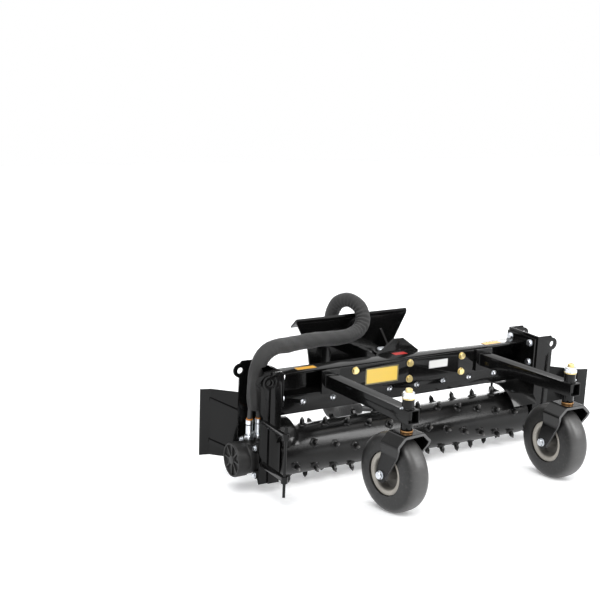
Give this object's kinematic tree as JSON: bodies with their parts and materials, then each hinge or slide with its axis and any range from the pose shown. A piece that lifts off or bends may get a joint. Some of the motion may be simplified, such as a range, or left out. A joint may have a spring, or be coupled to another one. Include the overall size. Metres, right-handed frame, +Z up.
{
  "type": "power rake attachment",
  "caption": "Power rake: toothed roller turned by a hydraulic motor in a steel frame, with caster gauge wheels, bent end plates and an angling hitch plate.",
  "frame": {"origin": "middle of the rigid parts' footprint, on the floor", "axes": "+X along the drum to the end without the motor, +Y to the rear hitch, +Z up"},
  "size_m": [1.648, 1.4549, 0.6615],
  "materials": {
    "frame_black": "gloss black powder coat on steel",
    "drum_black": "black coated steel, worn bright on the tooth points",
    "motor_black": "black painted casting",
    "zinc": "bright zinc plate",
    "yellow_zinc": "yellow zinc plate",
    "bronze": "oiled bronze",
    "rim_grey": "warm grey paint on pressed steel",
    "tyre": "smooth solid rubber",
    "hose_cover": "woven black nylon sleeve over rubber hose"
  },
  "bodies": {
    "frame": {"side_channel_left": "frame_black", "side_channel_right": "frame_black", "cross_beam": "frame_black", "beam_pad_left": "frame_black", "beam_pad_right": "frame_black", "face_plate": "frame_black", "strip_hanger": "frame_black", "deflector_strip": "frame_black", "end_guard_left": "frame_black", "end_guard_right": "frame_black", "motor_body": "motor_black", "motor_cap": "motor_black", "motor_plate": "frame_black", "hose_fitting_1": "zinc", "hose_fitting_2": "zinc", "drum_bearing": "frame_black", "wheel_arm_left": "frame_black", "spindle_boss_left": "frame_black", "wheel_arm_right": "frame_black", "spindle_boss_right": "frame_black", "end_plate_left": "frame_black", "wing_hinge_left": "frame_black", "end_plate_right": "frame_black", "wing_hinge_right": "frame_black", "hitch_yoke": "frame_black", "king_pin": "zinc", "hose_sleeve": "hose_cover", "hose_stub_1": "hose_cover", "hose_stub_2": "hose_cover", "hose_tail_1": "hose_cover", "hose_coupler_1": "zinc", "hose_tail_2": "hose_cover", "hose_coupler_2": "zinc"},
    "drum": {"toothed_drum": "drum_black", "drum_end_left": "drum_black", "drum_end_right": "drum_black"},
    "caster_left": {"caster_fork_left": "frame_black", "spindle_left": "yellow_zinc", "thrust_washer_left": "bronze", "spindle_washer_left": "yellow_zinc", "spindle_nut_left": "zinc", "axle_bolt_left": "zinc"},
    "wheel_left": {"wheel_rim_left": "rim_grey", "tyre_left": "tyre"},
    "caster_right": {"caster_fork_right": "frame_black", "spindle_right": "yellow_zinc", "thrust_washer_right": "bronze", "spindle_washer_right": "yellow_zinc", "spindle_nut_right": "zinc", "axle_bolt_right": "zinc"},
    "wheel_right": {"wheel_rim_right": "rim_grey", "tyre_right": "tyre"},
    "hitch": {"hitch_tongue": "frame_black", "receiver_plate": "frame_black", "receiver_hook": "frame_black"}
  },
  "joints": [
    {"name": "drum_spin", "type": "hinge", "parent": "frame", "child": "drum", "pos_m": [0, 0.12632, 0.12933], "axis": [1, 0, 0], "continuous": true},
    {"name": "caster_swivel_left", "type": "hinge", "parent": "frame", "child": "caster_left", "pos_m": [-0.381, -0.45111, 0.30874], "axis": [0, -0.1067, 0.9943], "continuous": true},
    {"name": "wheel_spin_left", "type": "hinge", "parent": "caster_left", "child": "wheel_left", "pos_m": [-0.38709, -0.38395, 0.14799], "axis": [0.9925, 0.1212, 0.013], "continuous": true},
    {"name": "caster_swivel_right", "type": "hinge", "parent": "frame", "child": "caster_right", "pos_m": [0.381, -0.45111, 0.30874], "axis": [0, -0.1067, 0.9943], "continuous": true},
    {"name": "wheel_spin_right", "type": "hinge", "parent": "caster_right", "child": "wheel_right", "pos_m": [0.381, -0.38358, 0.14803], "axis": [1, 0, 0], "continuous": true},
    {"name": "hitch_angle", "type": "hinge", "parent": "frame", "child": "hitch", "pos_m": [0, 0.25483, 0.41266], "axis": [0, -0.1067, 0.9943], "range_deg": [-20, 20]}
  ]
}
